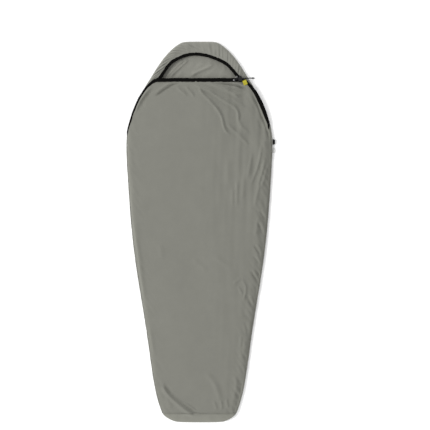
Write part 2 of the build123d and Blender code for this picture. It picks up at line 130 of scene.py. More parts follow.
def ripples(x, y, seed, across, along=None, turn=0.0):
    """Smooth seeded unevenness of about unit height; across and along are its usual lengths."""
    rng = np.random.default_rng(seed)
    along = along or across
    c, s = math.cos(turn), math.sin(turn)
    u, v = (x * c + y * s) / across, (y * c - x * s) / along
    total, waves = np.zeros(np.broadcast(x, y).shape), 22
    for _ in range(waves):
        way, phase, size = rng.uniform(0, 2 * np.pi), rng.uniform(0, 2 * np.pi), rng.uniform(0.6, 1.5)
        total = total + np.sin(2 * np.pi * (u * math.cos(way) + v * math.sin(way)) / size + phase)
    return total / math.sqrt(waves / 2)


# ---- reading the frame
def sections(names, ys, measure):
    """measure(x, z) of the cut through some CAD nodes' mesh edges at each y."""
    ends = []
    for mesh in [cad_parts[name].data for name in names]:
        co = np.array([v.co for v in mesh.vertices])
        ends.append(co[np.array([e.vertices for e in mesh.edges])])
    edges = np.concatenate(ends)
    a, b = edges[:, 0], edges[:, 1]
    found = []
    for y in ys:
        cut = (a[:, 1] - y) * (b[:, 1] - y) <= 0
        p, q = a[cut], b[cut]
        span = q[:, 1] - p[:, 1]
        t = np.clip((y - p[:, 1]) / np.where(np.abs(span) < 1e-9, 1.0, span), 0, 1)[:, None]
        at = p + (q - p) * t
        found.append(measure(at[:, 0], at[:, 2]))
    return np.array(found)


# ---- mesh building
def placed(name, data, location=(0, 0, 0)):
    obj = bpy.data.objects.new(name, data)
    obj.location = location
    bpy.context.scene.collection.objects.link(obj)
    return obj


def mesh_object(name, vertices, faces, corner_uv=None):
    """A smooth-shaded mesh object; corner_uv holds one (u, v) in metres for each face corner."""
    mesh = bpy.data.meshes.new(name)
    mesh.from_pydata([tuple(v) for v in vertices], [], faces)
    if corner_uv is not None:
        layer = mesh.uv_layers.new(name="length")
        layer.data.foreach_set("uv", np.array(corner_uv, np.float32).ravel())
    mesh.polygons.foreach_set("use_smooth", [True] * len(mesh.polygons))
    mesh.update()
    return placed(name, mesh)


def grid_faces(rows, cols, closed=False, capped=None):
    """Each face of a grid as its corners' (row, column). closed joins the last column to the first, and
    capped, "end" or "both", fills the last row's ring or both ends'."""
    wide = cols if closed else cols - 1
    faces = [[(i, j), (i, j + 1), (i + 1, j + 1), (i + 1, j)] for i in range(rows - 1) for j in range(wide)]
    if capped == "both":
        faces.append([(0, j) for j in reversed(range(cols))])
    if capped:
        faces.append([(rows - 1, j) for j in range(cols)])
    return faces


def numbered(faces, cols):
    """The same faces by vertex number."""
    return [tuple(i * cols + j % cols for i, j in face) for face in faces]


def grid_object(name, points, u, v, **how):
    """A mesh over points (rows, columns, 3) at lengths u and v; how is as for grid_faces."""
    rows, cols = points.shape[:2]
    faces = grid_faces(rows, cols, **how)
    uv = [(u[i], v[j]) for face in faces for i, j in face]
    return mesh_object(name, points.reshape(-1, 3), numbered(faces, cols), uv)


def thicken(obj, thickness):
    """Gives a sheet its thickness, below its outer face."""
    solid = obj.modifiers.new("thickness", "SOLIDIFY")
    solid.thickness = thickness
    solid.offset = -1.0
    graph = bpy.context.evaluated_depsgraph_get()
    mesh = bpy.data.meshes.new_from_object(obj.evaluated_get(graph))
    obj.modifiers.clear()
    old, obj.data = obj.data, mesh
    bpy.data.meshes.remove(old)
    mesh.name = obj.name


def rig(line, up=(0, 0, 1)):
    """Sideways and upward directions along a line."""
    forward = unit(np.gradient(line, axis=0))
    side = unit(np.cross(forward, np.array(up, float)))
    return side, np.cross(side, forward)


def turning_rig(line):
    """As rig, but carried along the line, for a cord that turns upright."""
    forward = unit(np.gradient(line, axis=0))
    side = np.cross(forward[0], (0.3, 0.9, 0.1))
    sides = []
    for f in forward:
        side = side - f * (side @ f)
        side = side / np.linalg.norm(side)
        sides.append(side)
    return np.array(sides), np.cross(sides, forward)


def level_rig(line, side):
    """As rig, for a strip that keeps one sideways direction."""
    sides = np.tile(side, (len(line), 1))
    return sides, np.cross(sides, unit(np.gradient(line, axis=0)))


def band_points(line, widths, heights, corners, square, directions=None):
    """Rings of a soft-edged strip round a line; the larger square is, the flatter its faces. A single width
    or height holds for the whole line."""
    side, up = directions or rig(line)
    widths, heights = np.broadcast_to(widths, len(line)), np.broadcast_to(heights, len(line))
    angle = np.linspace(0, 2 * np.pi, corners, endpoint=False)
    c, s = np.cos(angle), np.sin(angle)
    a = np.sign(c) * np.abs(c) ** (2 / square)
    b = np.sign(s) * np.abs(s) ** (2 / square)
    across = side[:, None] * (a[None, :, None] * widths[:, None, None] / 2)
    rise = up[:, None] * (b[None, :, None] * heights[:, None, None] / 2)
    return line[:, None] + across + rise


def band(name, line, widths, heights, girth=None, **how):
    """A closed strip; girth is the length round it for its weave, and how is as for band_points."""
    points = band_points(line, widths, heights, **how)
    around = np.linspace(0, girth or float(np.mean(widths) + np.mean(heights)) * 2, points.shape[1] + 1)
    return grid_object(name, points, lengths_along(line), around, closed=True, capped="both")


STITCH_RINGS = 5
STITCH_SIDES = 6


def stitches(name, rows, step=4.2 * MM, length=3.0 * MM, thickness=0.75 * MM):
    """One object of rows of thread stitches; each row is a line to lie on, and its upward directions."""
    t = np.linspace(-1, 1, STITCH_RINGS)[:, None]
    girth = np.sqrt(1 - (0.93 * t) ** 2)
    angle = np.linspace(0, 2 * np.pi, STITCH_SIDES, endpoint=False)[:, None]
    vertices = []
    for line, ups in rows:
        along = lengths_along(line)
        count = int(along[-1] / step)
        at = (np.arange(count) + 0.5) * along[-1] / count
        place, ups = picked(line, along, at), picked(ups, along, at)
        ways = unit(picked(line, along, at + 0.3 * step) - picked(line, along, at - 0.3 * step))
        for centre, way, side, up in zip(place, ways, unit(np.cross(ways, ups)), ups):
            middles = centre + way * t * length / 2 + up * (girth - 1.0) * thickness * 0.6
            ring = (side * np.cos(angle) + up * np.sin(angle)) * thickness / 2
            vertices.append(middles[:, None] + ring * girth[:, None])
    vertices = np.array(vertices).reshape(-1, 3)
    one = numbered(grid_faces(STITCH_RINGS, STITCH_SIDES, closed=True, capped="both"), STITCH_SIDES)
    starts = range(0, len(vertices), STITCH_RINGS * STITCH_SIDES)
    return mesh_object(name, vertices, [tuple(start + k for k in face) for start in starts for face in one])


# ---- shader building
class Nodes:
    """Short names for making shader nodes."""

    def __init__(self, name):
        self.material = bpy.data.materials.new(name)
        self.material.use_nodes = True
        self.tree = self.material.node_tree
        self.shader = self.tree.nodes["Principled BSDF"]

    def link(self, a, b):
        self.tree.links.new(a, b)

    def add(self, kind, **values):
        node = self.tree.nodes.new(kind)
        for key, value in values.items():
            if hasattr(node, key):
                setattr(node, key, value)
            else:
                node.inputs[key].default_value = value
        return node

    def math(self, operation, *values):
        node = self.add("ShaderNodeMath", operation=operation)
        for socket, value in zip(node.inputs, values):
            if isinstance(value, (int, float)):
                socket.default_value = value
            else:
                self.link(value, socket)
        return node.outputs[0]

    def plus(self, a, b):
        return self.math("ADD", a, b)

    def times(self, a, b):
        return self.math("MULTIPLY", a, b)

    def shift(self, value, factor, offset):
        """The value times a factor, plus an offset."""
        return self.math("MULTIPLY_ADD", value, factor, offset)

    def wave(self, value, period):
        """Sine of a length, from -1 to 1."""
        return self.math("SINE", self.times(value, 2 * math.pi / period))

    def lengths(self):
        """Lengths along and across the piece, in metres."""
        split = self.add("ShaderNodeSeparateXYZ")
        self.link(self.add("ShaderNodeUVMap", uv_map="length").outputs[0], split.inputs[0])
        return split.outputs[0], split.outputs[1]

    def noise(self, size, detail=2.0, roughness=0.5, stretch=None):
        """Noise whose lumps are about this size in metres."""
        node = self.add("ShaderNodeTexNoise", Scale=1.0 / size, Detail=detail, Roughness=roughness)
        place = self.add("ShaderNodeTexCoord").outputs["Object"]
        if stretch:
            mapping = self.add("ShaderNodeMapping", Scale=stretch)
            self.link(place, mapping.inputs["Vector"])
            place = mapping.outputs[0]
        self.link(place, node.inputs["Vector"])
        return node.outputs["Fac"]

    def tint(self, colour, darker, lighter, factor):
        """The colour, moved between a darker and a lighter share of itself."""
        low, high = [(*[c * share for c in colour], 1) for share in (darker, lighter)]
        mix = self.add("ShaderNodeMix", data_type="RGBA", A=low, B=high)
        self.link(factor, mix.inputs["Factor"])
        return mix.outputs["Result"]

    def bump(self, height, depth, strength=1.0, under=None):
        node = self.add("ShaderNodeBump", Distance=depth, Strength=strength)
        self.link(height, node.inputs["Height"])
        if under is not None:
            self.link(under, node.inputs["Normal"])
        return node.outputs[0]

    def set(self, **values):
        """Constants on the shader's own sockets; the key's underscores stand for spaces."""
        for key, value in values.items():
            self.shader.inputs[key.replace("_", " ")].default_value = value

    def done(self, colour=None, roughness=None, normal=None):
        for socket, value in (("Base Color", colour), ("Roughness", roughness), ("Normal", normal)):
            if value is not None:
                self.link(value, self.shader.inputs[socket])
        return self.material


def knit_material(name, colour, wale=1.7 * MM, course=1.3 * MM):
    """Fine jersey: columns of V-shaped loops, a little heather, and a soft nap."""
    n = Nodes(name)
    along, across = n.lengths()
    column = n.math("SUBTRACT", n.math("FRACT", n.math("DIVIDE", across, wale)), 0.5)
    leg = n.times(n.math("ABSOLUTE", column), 2.0)
    loop = n.wave(n.plus(along, n.times(leg, 0.6 * course)), course)
    ridge = n.math("SQRT", n.math("SUBTRACT", 1.0, n.times(leg, leg)))
    height = n.times(ridge, n.shift(loop, 0.25, 0.75))
    mottle = n.noise(60 * MM, 3.0)
    heather = n.noise(2.2 * MM, 2.0, stretch=(1.0, 0.45, 1.0))
    blend = n.plus(n.times(mottle, 0.45), n.times(heather, 0.55))
    # the colour follows the loops' height: painted shade between the loops, mixed with the heather's real
    # tone
    heather_and_loop_shade = n.shift(height, 0.25, n.times(blend, 0.75))
    n.set(Specular_IOR_Level=0.15, Diffuse_Roughness=0.6)
    n.set(Sheen_Weight=0.12, Sheen_Roughness=0.45, Sheen_Tint=(0.93, 0.94, 0.9, 1))
    rough = n.shift(heather, 0.12, 0.84)
    soft = n.bump(n.noise(14 * MM, 3.0), 0.7 * MM, 0.35)
    return n.done(n.tint(colour, 0.84, 1.16, heather_and_loop_shade), rough, n.bump(height, 0.22 * MM, 0.6, soft))


def tape_material(name, colour):
    """Woven tape: fine diagonal ribs, slightly shiny and worn on the crowns."""
    n = Nodes(name)
    along, across = n.lengths()
    rib = n.wave(n.plus(along, across), 1.1 * MM)
    thread = n.wave(n.math("SUBTRACT", along, n.times(across, 0.5)), 0.6 * MM)
    height = n.shift(thread, 0.25, n.times(rib, 0.5))
    wear = n.noise(9 * MM, 3.0)
    n.set(Specular_IOR_Level=0.04)
    rough = n.shift(wear, 0.2, 0.72)
    return n.done(n.tint(colour, 0.7, 1.6, wear), rough, n.bump(height, 0.16 * MM, 0.5))


def webbing_material(name, colour, gloss=0.6, shine=0.25):
    """Coarse flat webbing: ribs across the strip, crossed by warp threads."""
    n = Nodes(name)
    along, across = n.lengths()
    weft = n.wave(along, 1.5 * MM)
    warp = n.wave(across, 1.0 * MM)
    height = n.times(n.shift(weft, 0.5, 0.5), n.shift(warp, 0.35, 0.65))
    wear = n.noise(5 * MM, 2.0)
    n.set(Specular_IOR_Level=shine)
    # the colour follows the weave's height, painted shade between the ribs and threads, mixed with real wear
    mix = n.plus(n.times(height, 0.5), n.times(wear, 0.5))
    rough = n.shift(wear, 0.2, gloss)
    return n.done(n.tint(colour, 0.62, 1.25, mix), rough, n.bump(height, 0.3 * MM, 0.7))


def braid_material(name, colour):
    """Braided cord: two sets of crossing strands."""
    n = Nodes(name)
    along, around = n.lengths()
    one = n.wave(n.plus(along, n.times(around, 0.8)), 2.2 * MM)
    two = n.wave(n.math("SUBTRACT", along, n.times(around, 0.8)), 2.2 * MM)
    height = n.math("MAXIMUM", one, two)
    n.set(Specular_IOR_Level=0.15, Roughness=0.66)
    # the colour follows the strands' height: painted shade where the strands dip under each other
    factor = n.shift(height, 0.4, 0.5)
    return n.done(n.tint(colour, 0.6, 1.7, factor), None, n.bump(height, 0.25 * MM, 0.8))


def thread_material(name, colour):
    """Spun sewing thread: a fine twist and a low shine."""
    n = Nodes(name)
    twist = n.noise(0.5 * MM, 1.0)
    n.set(Specular_IOR_Level=0.06, Roughness=0.75)
    # the colour follows the same twist as the bump: painted shade in its hollows
    return n.done(n.tint(colour, 0.75, 1.25, twist), None, n.bump(twist, 0.1 * MM, 0.5))


def plastic_material(name, colour, grain=0.5 * MM, roughness=0.42):
    """Moulded plastic with a fine spark-eroded grain and faint scuffs."""
    n = Nodes(name)
    fine = n.noise(grain, 2.0)
    scuff = n.noise(6 * MM, 4.0, 0.65)
    n.set(Specular_IOR_Level=0.22)
    rough = n.shift(scuff, 0.22, roughness)
    return n.done(n.tint(colour, 0.75, 1.5, scuff), rough, n.bump(fine, 0.06 * MM, 0.4))


def metal_material(name, colour, roughness=0.32):
    """Plated metal with fine turning marks and slight dulling."""
    n = Nodes(name)
    marks = n.noise(0.35 * MM, 2.0, stretch=(1, 1, 6))
    dull = n.noise(3 * MM, 3.0)
    n.set(Metallic=1.0)
    rough = n.shift(dull, 0.25, roughness)
    return n.done(n.tint(colour, 0.8, 1.15, dull), rough, n.bump(marks, 0.03 * MM, 0.4))


def label_material(name, colour):
    """Satin label tape: a tight plain weave with a light sheen."""
    n = Nodes(name)
    along, across = n.lengths()
    height = n.times(n.wave(along, 0.5 * MM), n.wave(across, 0.5 * MM))
    n.set(Specular_IOR_Level=0.4, Roughness=0.5, Sheen_Weight=0.2)
    # the colour follows the weave's height: painted shade between the threads
    factor = n.shift(height, 0.25, 0.5)
    return n.done(n.tint(colour, 0.85, 1.15, factor), None, n.bump(height, 0.08 * MM, 0.5))


KNIT = knit_material("knit", (0.181, 0.181, 0.158))
# a lighter copy of the knit for the hood lip: painted light that offsets the shade of its pleats
KNIT_HOOD_PAINTED_LIGHTER = knit_material("knit_hood_painted_lighter", (0.208, 0.208, 0.184))
# a lighter copy of the knit for the back's upward faces: a painted highlight
KNIT_INSIDE_PAINTED_LIGHTER = knit_material("knit_inside_painted_lighter", (0.226, 0.225, 0.198))
# a lighter copy of the knit for the foot end: painted light for the light that the foot end catches
FOOT_KNIT_PAINTED_LIGHTER = knit_material("foot_knit_painted_lighter", (0.204, 0.204, 0.177), 1.9 * MM, 1.4 * MM)
SEAM = knit_material("seam_edge", (0.176, 0.176, 0.153), 1.1 * MM, 0.9 * MM)
TAPE = tape_material("black_tape", (0.0022, 0.0021, 0.0019))
CORD = braid_material("braided_cord", (0.010, 0.010, 0.0115))
OLIVE_THREAD = thread_material("olive_thread", (0.17, 0.17, 0.145))
BLACK_THREAD = thread_material("black_thread", (0.004, 0.004, 0.0038))
LOCK_PLASTIC = plastic_material("lock_plastic", (0.005, 0.005, 0.0054))
BUTTON_PLASTIC = plastic_material("button_plastic", (0.007, 0.007, 0.0077), 0.8 * MM, 0.36)
TIP_RUBBER = plastic_material("tip_rubber", (0.010, 0.010, 0.010), 0.4 * MM, 0.5)
EYELET_METAL = metal_material("eyelet_metal", (0.5, 0.5, 0.5))
SPRING_METAL = metal_material("spring_metal", (0.6, 0.6, 0.6), 0.25)
LIME = webbing_material("lime_webbing", (0.42, 0.375, 0.026))
BLACK_WEB = webbing_material("black_webbing", (0.004, 0.004, 0.004), 0.7, 0.08)
LABEL = label_material("label_cloth", (0.30, 0.30, 0.29))


# ---- dressing and joining
def dress(obj, material, slot, *nodes, body=None):
    """A piece's material, the CAD nodes that it stands for, and the body it rides on; slot is not used."""
    obj.data.materials.clear()
    obj.data.materials.append(material)
    if nodes:
        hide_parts(*nodes)
    if body:
        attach(obj, body)
    return obj


def lift_with_front(obj):
    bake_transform(obj)


def lift_with_hood(obj):
    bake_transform(obj)


# ---- the bag's outline
LEFT_TAPE = 11 * MM
RIGHT_TAPE_MORE = 9 * MM  # how much wider the right tape is made than in the CAD model
TAPE_LIFT = 2.3 * MM  # where the cloth enters the tapes, above their lower face
BODY_Y = np.linspace(-0.999, 0.589, 60)
YOKE_Y = np.linspace(0.593, 0.825, 24)
FRONT_Y = np.append(BODY_Y, YOKE_Y)


def outline_tables():
    """Half widths and heights along the bag, read from the CAD pieces at even steps."""
    tape = ["shoulder_binding_right"]
    seam = sections(["side_seam_left", "side_seam_right"], BODY_Y, lambda x, z: np.abs(x).min())
    outer = sections(tape, YOKE_Y, lambda x, z: x.max())
    width = outer - sections(tape, YOKE_Y, lambda x, z: x.min())
    foot = sections(tape, YOKE_Y, lambda x, z: z.min())
    crown = sections(["front_panel"], BODY_Y, lambda x, z: z.max())
    yoke_crown = sections(["front_yoke"], YOKE_Y, lambda x, z: z.max())
    return seam, outer, width, foot, np.append(crown, yoke_crown)


SEAM_X, YOKE_X, RIGHT_TAPE, YOKE_FOOT, FRONT_CROWN = outline_tables()


def front_edges(y):
    """Left and right edge of the front cloth, where it enters the side seams or the shoulder tapes."""
    left = -np.interp(y, FRONT_Y, np.append(SEAM_X, YOKE_X - LEFT_TAPE / 2))
    return left, np.interp(y, FRONT_Y, np.append(SEAM_X, YOKE_X - RIGHT_TAPE / 2))


def front_edge_z(y):
    lift = ease((y - 0.55) / 0.06)  # from the seams up to the tapes
    return SEAM_Z + lift * (np.interp(y, YOKE_Y, YOKE_FOOT) + TAPE_LIFT - SEAM_Z)


# ---- folds
FOLD_GAIN = 1.7  # heights of the front's folds, over those in its list


class Fold:
    """A crest along a route (in millimetres). Its left-hand flank is lee times as wide, with a dip beyond it,
    and it fades at both ends over that share of the way."""

    def __init__(self, points, height, width=8, lee=1.1, dip=0.2, ends=0.3):
        self.route = flow(np.array(points, float) * MM, 30)
        self.height, self.width = height * MM, width * MM
        self.lee, self.dip, self.ends = lee, dip, ends

    def rise(self, x, y):
        """Height that the fold adds; negative for a furrow."""
        reach = 4 * self.width
        low, high = self.route.min(0) - reach, self.route.max(0) + reach
        near = (x > low[0]) & (x < high[0]) & (y > low[1]) & (y < high[1])
        out = np.zeros(x.shape)
        if not near.any():
            return out
        d, share = beside(self.route, x[near], y[near])
        steep = self.width * self.lee
        wide = np.where(d < 0, self.width, steep)
        crest = np.exp(-((d / wide) ** 2))
        hollow = np.exp(-(((d - 2.1 * steep) / (1.15 * steep)) ** 2))
        fade = ease(share / self.ends) * ease((1 - share) / self.ends)
        out[near] = self.height * fade * (crest - self.dip * hollow)
        return out


FRONT_FOLDS = [Fold(*row) for row in (  # points, height, width, lee, dip, ends
    # the long creases that fan out from the neck hem over the right of the chest
    ([(-12, 808), (11, 765), (48, 732), (94, 682), (119, 644), (129, 604), (136, 572), (150, 548),
      (178, 529)], 4.6, 6.5, 1.2, 0.15, 0.13),
    ([(-40, 812), (6, 797), (57, 777), (103, 742), (149, 714), (186, 694), (207, 674), (214, 645),
      (213, 612), (216, 590)], 5.0, 7, 1.1, 0.25, 0.14),
    ([(210, 640), (214, 610), (230, 580), (262, 552), (290, 530)], 2.0, 9),
    ([(148, 603), (164, 580), (188, 562), (222, 530), (258, 493), (276, 470)], 3.0, 8, 1.1, 0.2, 0.2),
    ([(40, 817), (103, 797), (160, 770), (200, 757), (250, 748)], 3.9, 8, 1.0, 0.4),
    ([(110, 808), (150, 785), (190, 761), (226, 730)], 3.3, 7.5, 1.1, 0.35),
    ([(176, 724), (206, 710), (236, 700), (260, 676)], 2.0, 8),
    ([(-132, 806), (-108, 782), (-80, 762), (-64, 742)], 3.7, 6.5),
    ([(-82, 806), (-60, 782), (-38, 760), (-24, 738)], 3.4, 6.5),
    ([(80, 690), (104, 664), (118, 630)], 1.4, 10),
    # the deep tucks close under the neck hem
    ([(84, 826), (130, 820), (180, 813), (228, 804), (266, 790)], -8.0, 6.5, 1.0, 0.5, 0.25),
    ([(-248, 744), (-206, 774), (-170, 799), (-140, 815), (-96, 828)], -5.4, 7, 1.0, 0.6, 0.25),
    ([(-330, 664), (-312, 716), (-284, 758), (-246, 790)], -2.3, 9, 1.0, 0.5),
    ([(-250, 806), (-292, 774), (-328, 726), (-350, 680), (-364, 630)], 4.0, 8, 0.8, 0.2),
    # the furrow inside the right shoulder tape
    ([(290, 752), (306, 735), (328, 684), (342, 650), (354, 617), (371, 570), (383, 525), (386, 490)],
     -4.4, 8, 0.9, 0.2, 0.2),
    ([(250, 790), (288, 742), (318, 684), (336, 632)], 1.6, 11),
    # long folds down the right side
    ([(346, 505), (340, 450), (328, 387), (314, 340), (296, 295), (280, 245)], 3.2, 8),
    ([(338, 290), (322, 232), (308, 170), (302, 125)], 2.4, 9),
    ([(290, 445), (282, 390), (272, 330), (262, 285)], 2.0, 9),
    ([(364, 410), (350, 350), (333, 295), (316, 240)], 2.6, 8),
    ([(376, 380), (368, 330), (352, 280), (336, 230)], 2.4, 8),
    ([(208, 300), (206, 240), (205, 180), (207, 125)], 2.6, 9),
    ([(184, 250), (182, 190), (184, 135)], 1.6, 9),
    ([(246, 330), (240, 270), (238, 210), (234, 160)], 1.5, 10),
    ([(160, 420), (156, 330), (158, 250)], 1.0, 14),
    # tucks and small folds along the right seam
    ([(330, 122), (348, 98), (368, 62)], -3.0, 7, 1.0, 0.6),
    ([(318, 62), (336, 26), (356, -22)], -3.0, 8, 1.0, 0.6),
    ([(300, -68), (318, -96), (340, -134)], -2.8, 7, 1.0, 0.6),
    ([(296, -128), (316, -152), (336, -184)], -2.6, 7, 1.0, 0.6),
    ([(284, -212), (302, -240), (324, -282)], -2.8, 7, 1.0, 0.6),
    ([(264, -338), (276, -375), (292, -420)], -2.6, 8, 1.0, 0.5),
    ([(250, -480), (262, -530), (272, -590)], -2.0, 9, 1.0, 0.5),
    ([(324, 92), (319, 40), (313, 0), (308, -30)], 2.0, 10),
    ([(228, -258), (246, -278), (257, -308), (253, -345), (240, -385)], 2.3, 7.5, 1.0, 0.3),
    ([(184, -288), (206, -270), (232, -256)], 1.8, 7),
    ([(210, -296), (226, -320), (238, -350)], 1.8, 6),
    # the front's left edge stands up in a low ridge just inside the seam
    ([(-365, 90), (-356, 20), (-342, -80), (-332, -160), (-321, -240), (-308, -330), (-295, -410)],
     3.0, 6, 2.6, 0.0, 0.25),
    ([(-283, -470), (-269, -550), (-256, -630), (-245, -700)], 1.6, 6.5, 2.4, 0.0, 0.3),
    # soft diagonals over the legs
    ([(-46, -142), (0, -180), (52, -222)], 1.5, 12),
    ([(62, -122), (120, -160), (180, -204)], 1.7, 14),
    ([(26, -760), (58, -800), (90, -845), (108, -900), (118, -958)], 2.4, 13, 1.1, 0.3),
    ([(196, -776), (203, -830), (202, -885), (184, -948)], 1.6, 11, 1.0, 0.3),
    ([(230, -566), (228, -600), (226, -640)], 1.8, 8),
    ([(252, -574), (248, -640), (243, -696)], 1.2, 9),
    ([(-216, -60), (-210, -110), (-206, -160)], 1.2, 14),
    # foot: the deep diagonal crease and small gathers at the seam
    ([(-214, -834), (-190, -873), (-155, -917), (-115, -949), (-76, -980), (-36, -1008), (-8, -1030)],
     5.4, 14, 0.6, 0.6, 0.16),
    ([(-98, -934), (-56, -958), (-8, -994)], 2.2, 8, 0.6, 0.5),
    ([(76, -926), (86, -950), (98, -986)], 1.6, 7),
    ([(118, -920), (122, -950), (124, -984)], 1.8, 7),
    ([(146, -916), (154, -944), (158, -976)], 1.8, 7),
    ([(-190, -905), (-168, -940), (-148, -975)], 1.6, 10),
)]


def front_slack(x, y, inside):
    """Height that folds and looser cloth add to the front; inside is the distance from its edge."""
    slack = FOLD_GAIN * sum(fold.rise(x, y) for fold in FRONT_FOLDS)
    # faint streaks lengthwise, mostly on the right of the chest
    rightward = ease((x + 0.05) / 0.3) * (0.45 + 0.55 * ease((y - 0.02) / 0.2))
    slack = slack + 1.2 * MM * rightward * ripples(x, y, 11, 0.05, 0.42)
    # broad swells everywhere, and short slanting tugs along the edges
    slack = slack + 1.6 * MM * ripples(x, y, 12, 0.30, 0.5)
    tug = ripples(x, y, 13, 0.04, 0.11, 0.5) * np.where(x > 0, 1.0, 0.5)
    return slack + 1.4 * MM * ease(1 - inside / 0.10) * tug


def front_height(x, y):
    """Height of the front cloth's outer face."""
    left, right = front_edges(y)
    middle, half = (left + right) / 2, (right - left) / 2
    inside = np.clip(np.minimum(x - left, right - x), 0, None)
    yoke = ease((y - 0.46) / 0.13)
    foot, crown = front_edge_z(y), np.interp(y, FRONT_Y, FRONT_CROWN)
    arch = 1 - np.clip((x - middle) / half, -1, 1) ** 2
    # the left edge rolls over in a tight bow, the right one slopes down more evenly
    near_left = np.clip(inside / (30 * MM * (1 - 0.5 * yoke)), 0, 1)
    near_right = np.clip(inside / (46 * MM * (1 - 0.4 * yoke)), 0, 1)
    slope = 0.45 * bow(near_right) + 0.55 * (1 - (1 - near_right) ** 1.5)
    roll = np.where(x > middle, slope, bow(near_left))
    share = np.where(x > middle, 0.62, 0.54) * (1 - 0.85 * yoke)
    z = foot + (crown - foot) * (share * roll + (1 - share) * arch)
    # the cloth lies smooth beside the tapes and under the neck hem
    tape = np.where(x > middle, np.interp(y, YOKE_Y, RIGHT_TAPE) + RIGHT_TAPE_MORE, LEFT_TAPE) / 2
    tape = tape * ease((y - 0.575) / 0.025)
    hold = ease((inside - tape) / (13 * MM)) * (1 - ease((y - 0.813) / 0.014))
    return z + hold * front_slack(x, y, inside)


def front_shell():
    body = np.linspace(FOOT_SEAM_Y, HINGE_Y, 430)
    ys = np.concatenate([body, np.linspace(HINGE_Y + 3 * MM, NECK_Y - 4 * MM, 76)])
    t = np.linspace(-1, 1, 241)
    u = 1.2 * t - 0.2 * t**3  # closer together at the edges
    left, right = front_edges(ys)
    x = ((left + right) / 2)[:, None] + ((right - left) / 2)[:, None] * u[None, :]
    y = np.repeat(ys[:, None], len(u), axis=1)
    points = np.stack([x, y, front_height(x, y)], axis=2)
    obj = grid_object("front_shell", points, ys, HALF_CUT * u)
    thicken(obj, CLOTH)
    dress(obj, KNIT, "knit_fabric", "front_panel", "front_yoke")
    lift_with_front(obj)
    return obj


# ---- back and hood lining
BACK_Z = 1.3 * MM  # upper face of the back where it lies on the floor
RIM_Z = 7.4 * MM  # and where it meets the front and the lip


def back_edge(ys):
    """Half width of the back cloth from the foot seam to the crown."""
    low = np.linspace(-0.999, 0.8635, 70)
    high = np.linspace(0.8665, 1.0478, 40)
    widest = lambda x, z: np.abs(x).max()
    body, hood = sections(["back_panel"], low, widest), sections(["hood_back"], high, widest)
    return np.interp(ys, np.append(low, high), np.append(body, hood - 1.5 * MM))


HOOD_FOLDS = [Fold(*row) for row in (
    ([(-58, 954), (-98, 920), (-134, 888), (-166, 852)], 8.0, 6.5, 1.0, 0.5, 0.16),
    ([(-84, 954), (-122, 918), (-154, 884), (-182, 858)], 6.5, 5.5, 1.0, 0.5, 0.16),
    ([(84, 926), (40, 908), (2, 890), (-50, 862)], 5.8, 8, 1.0, 0.4, 0.16),
    ([(40, 936), (8, 924), (-26, 906)], 2.6, 9),
    ([(150, 912), (130, 886), (104, 858)], 3.0, 10),
)]


def back_shell():
    ys = np.concatenate([np.linspace(FOOT_SEAM_Y, 0.80, 200), np.linspace(0.806, 1.0488, 50)])
    t = np.linspace(-1, 1, 121)
    u = 1.25 * t - 0.25 * t**3
    edge = back_edge(ys)
    x = edge[:, None] * u[None, :]
    y = np.repeat(ys[:, None], len(u), axis=1)
    inside = np.minimum(edge[:, None] * (1 - np.abs(u[None, :])), (ys[-1] - y) * 0.8 + 0.2 * MM)
    turned = np.clip(1 - inside / (46 * MM), 0, 1) ** 2
    z = BACK_Z + (RIM_Z - BACK_Z) * turned
    slack = sum(fold.rise(x, y) for fold in HOOD_FOLDS)
    hood = ease((y - 0.80) / 0.05)
    slack = slack + 0.8 * MM * hood * (ripples(x, y, 21, 0.05, 0.09, -0.7) + 1.2)
    z = z + ease(inside / 0.03) * slack
    z = np.maximum(z, BACK_Z)
    obj = grid_object("back_shell", np.stack([x, y, z], axis=2), ys, HALF_CUT * u)
    thicken(obj, CLOTH * 0.9)
    dress(obj, KNIT, "knit_fabric", "back_panel", "hood_back")
    # the upward faces, the back's inside, get a lighter copy of the knit: a painted highlight against the
    # shade inside the hood
    obj.data.materials.append(KNIT_INSIDE_PAINTED_LIGHTER)
    for face in obj.data.polygons:
        if face.normal.z > 0:
            face.material_index = 1
    lift_with_hood(obj)
    return obj


# ---- hood lip
# Half of the lip's outline, and both halves of its hem, each from the skirt up to the crown (in millimetres).
LIP_OUTER = [
    (300, 797), (288, 820), (270, 845), (257, 868), (222, 925),
    (165, 997), (112, 1039), (88, 1048), (60, 1050), (0, 1050),
]
LIP_INNER = [
    (292, 796), (264, 818), (236, 838), (206, 864), (170, 908),
    (146, 936), (110, 955), (60, 972), (20, 984), (-18, 990),
]
LIP_INNER_LEFT = [
    (-292, 796), (-264, 818), (-236, 838), (-209, 864), (-180, 912),
    (-152, 944), (-118, 960), (-80, 972), (-50, 984), (-18, 990),
]


def lip_lines(count):
    """The hood lip's outer outline and hem line, from the left skirt over the crown to the right one."""
    left_outer = [(-x, y) for x, y in LIP_OUTER]
    outer = flow(np.array(left_outer + LIP_OUTER[-2::-1]) * MM, count)
    inner = flow(np.array(LIP_INNER_LEFT + LIP_INNER[-2::-1]) * MM, count)
    return outer, inner


def lip_slack(x, y, along, s, outer_x, inside):
    """Height that the pleats add to the lip; outer_x is where each pleat starts on the outline."""
    left = np.interp(outer_x, [-0.276, -0.238, -0.14, -0.06, 0.04], [0.0, 1.0, 1.0, 0.45, 0.0])[:, None]
    right = np.interp(outer_x, [-0.02, 0.10, 0.18, 0.24, 0.29], [0.2, 0.6, 1.0, 1.0, 0.0])[:, None]
    slanting = gathers(along, s, 31, (0.034, 0.043, 0.056), 0.15)
    upright = gathers(along, s, 32, (0.023, 0.031, 0.047), 0.03)
    slack = 3.4 * MM * left * slanting + 2.3 * MM * right * upright * (0.35 + 0.65 * s)
    puckers = gathers(along, s, 34, (0.014, 0.018), 0.01)
    slack = slack + 1.3 * MM * left * puckers * ease(1 - inside / (22 * MM))
    return slack + 1.2 * MM * ripples(x, y, 33, 0.06)


